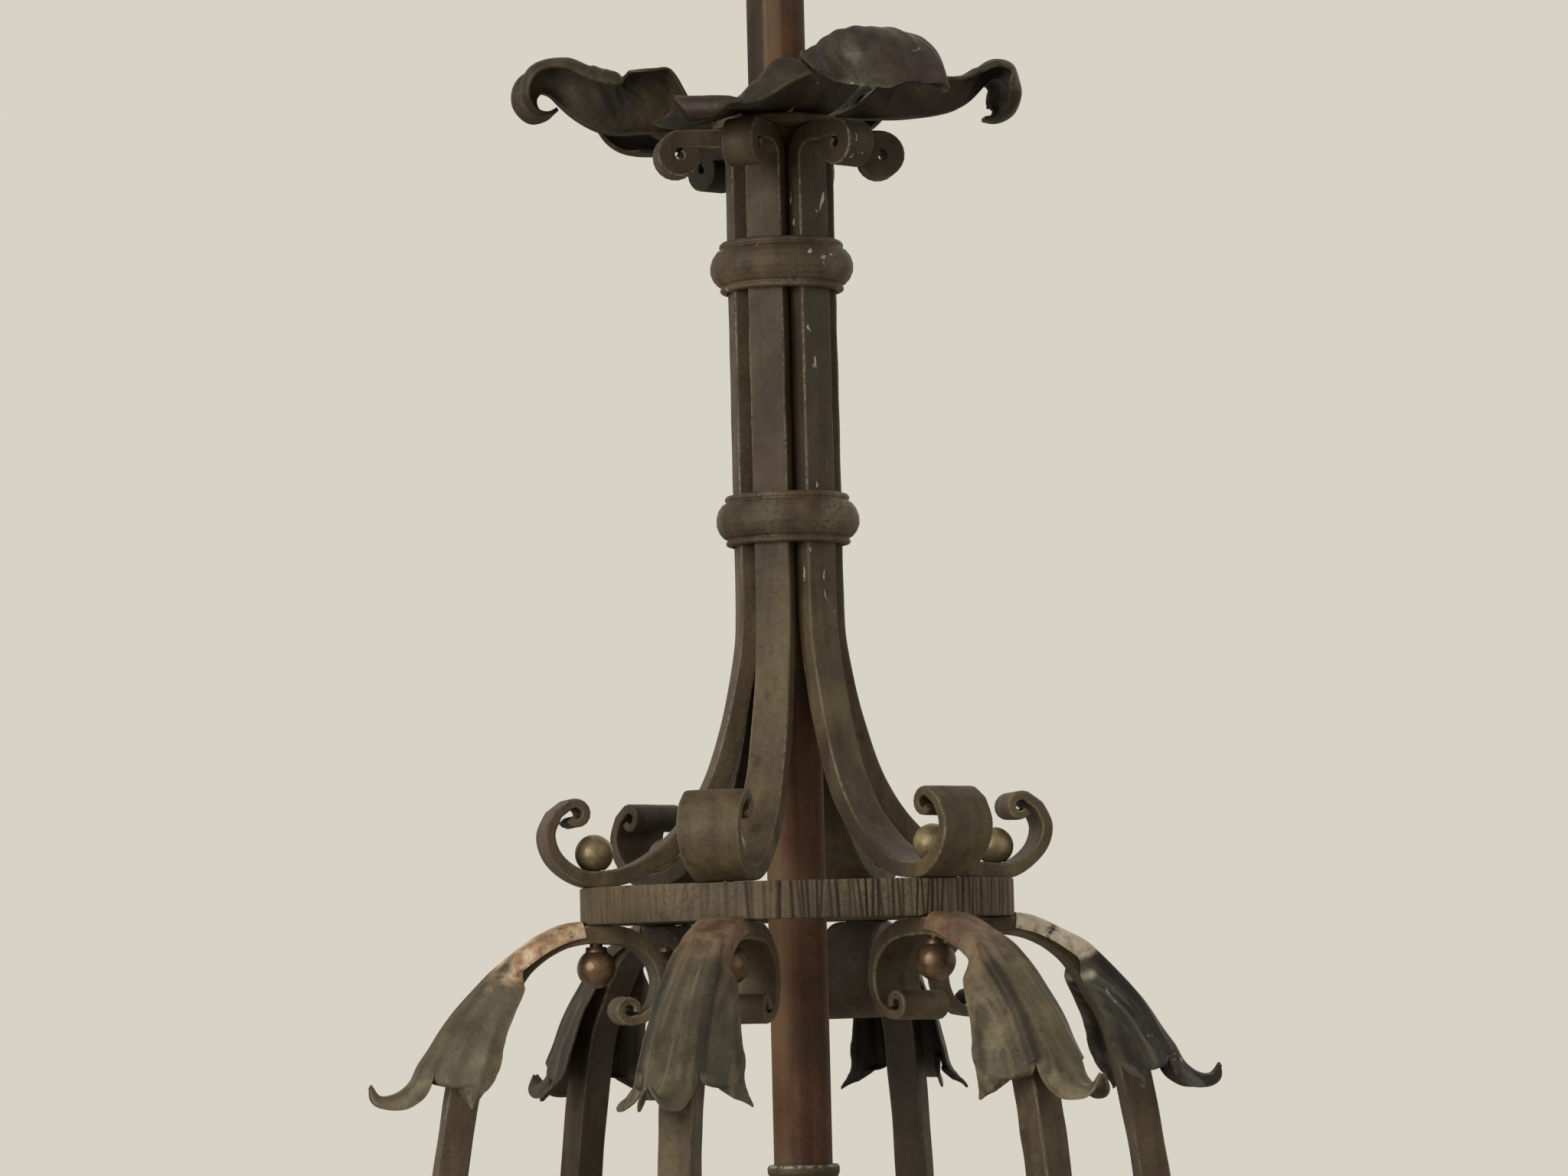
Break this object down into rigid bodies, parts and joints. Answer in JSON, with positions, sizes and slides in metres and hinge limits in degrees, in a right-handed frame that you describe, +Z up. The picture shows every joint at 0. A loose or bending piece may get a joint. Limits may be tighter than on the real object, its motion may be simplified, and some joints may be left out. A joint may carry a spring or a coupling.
{
  "type": "wrought iron chandelier",
  "caption": "Hanging chandelier of forged bars held by collars round a centre pipe, with a hammered hoop, ball bolts, bowed leaf-capped arms and candle lights.",
  "frame": {"origin": "centre of the flat top face of the ceiling plate, where it meets the ceiling", "axes": "+Z up towards the ceiling along the centre pipe; +X towards the first arm; the part hangs down into -Z"},
  "size_m": [0.475, 0.4166, 1.3003],
  "materials": {
    "forged_iron": "aged grey-brown patina",
    "hammered_iron": "hammered, aged brown patina",
    "dark_iron": "blackened",
    "painted_leaf": "worn painted sheet",
    "copper_pipe": "tarnished red-brown",
    "bronze_ball": "tarnished, soft sheen",
    "candle_ivory": "matt ivory",
    "bulb_glass": "frosted glass"
  },
  "bodies": {
    "ceiling": {"ceiling_plate": "dark_iron", "ceiling_hook": "dark_iron"},
    "link": {"hanging_link": "dark_iron"},
    "chandelier": {"stem_bar_1": "forged_iron", "stem_bar_2": "forged_iron", "stem_bar_3": "forged_iron", "stem_bar_4": "forged_iron", "stem_bar_5": "forged_iron", "stem_bar_6": "forged_iron", "lower_collar": "forged_iron", "upper_collar": "forged_iron", "hammered_ring": "hammered_iron", "arm_1": "forged_iron", "arm_2": "forged_iron", "arm_3": "forged_iron", "arm_4": "forged_iron", "arm_5": "forged_iron", "arm_6": "forged_iron", "ball_nut_1": "bronze_ball", "ball_nut_2": "bronze_ball", "ball_nut_3": "bronze_ball", "ball_nut_4": "bronze_ball", "ball_nut_5": "bronze_ball", "ball_nut_6": "bronze_ball", "ball_bolt_1": "bronze_ball", "ball_bolt_2": "bronze_ball", "ball_bolt_3": "bronze_ball", "ball_bolt_4": "bronze_ball", "ball_bolt_5": "bronze_ball", "ball_bolt_6": "bronze_ball", "arm_leaf_1": "painted_leaf", "arm_leaf_2": "painted_leaf", "arm_leaf_3": "painted_leaf", "arm_leaf_4": "painted_leaf", "arm_leaf_5": "painted_leaf", "arm_leaf_6": "painted_leaf", "rosette_plate": "forged_iron", "rosette_leaf_1": "painted_leaf", "rosette_leaf_2": "painted_leaf", "rosette_leaf_3": "painted_leaf", "rosette_leaf_4": "painted_leaf", "rosette_leaf_5": "painted_leaf", "rosette_leaf_6": "painted_leaf", "centre_pipe": "copper_pipe", "lower_pipe": "copper_pipe", "pipe_coupling": "copper_pipe", "candle_spider": "forged_iron", "candle_sleeve_1": "candle_ivory", "candle_sleeve_2": "candle_ivory", "candle_sleeve_3": "candle_ivory", "bottom_hub": "forged_iron", "finial": "forged_iron", "top_loop": "dark_iron"},
    "cup": {"ceiling_cup": "forged_iron", "cup_collar": "forged_iron", "cup_screw": "bronze_ball"},
    "bulb_1": {"candle_bulb_1": "bulb_glass"},
    "bulb_2": {"candle_bulb_2": "bulb_glass"},
    "bulb_3": {"candle_bulb_3": "bulb_glass"}
  },
  "joints": [
    {"name": "link_swing", "type": "hinge", "parent": "ceiling", "child": "link", "pos_m": [0, 0, -0.043], "axis": [1, 0, 0], "range_deg": [-4, 4]},
    {"name": "body_swing", "type": "hinge", "parent": "link", "child": "chandelier", "pos_m": [0, 0, -0.0762], "axis": [0, 1, 0], "range_deg": [-4, 4]},
    {"name": "cup_slide", "type": "slide", "parent": "chandelier", "child": "cup", "axis": [0, 0, 1], "range_m": [-0.11, 0]},
    {"name": "bulb_1_out", "type": "slide", "parent": "chandelier", "child": "bulb_1", "axis": [0, 0, 1], "range_m": [0, 0.035]},
    {"name": "bulb_2_out", "type": "slide", "parent": "chandelier", "child": "bulb_2", "axis": [0, 0, 1], "range_m": [0, 0.035]},
    {"name": "bulb_3_out", "type": "slide", "parent": "chandelier", "child": "bulb_3", "axis": [0, 0, 1], "range_m": [0, 0.035]}
  ]
}
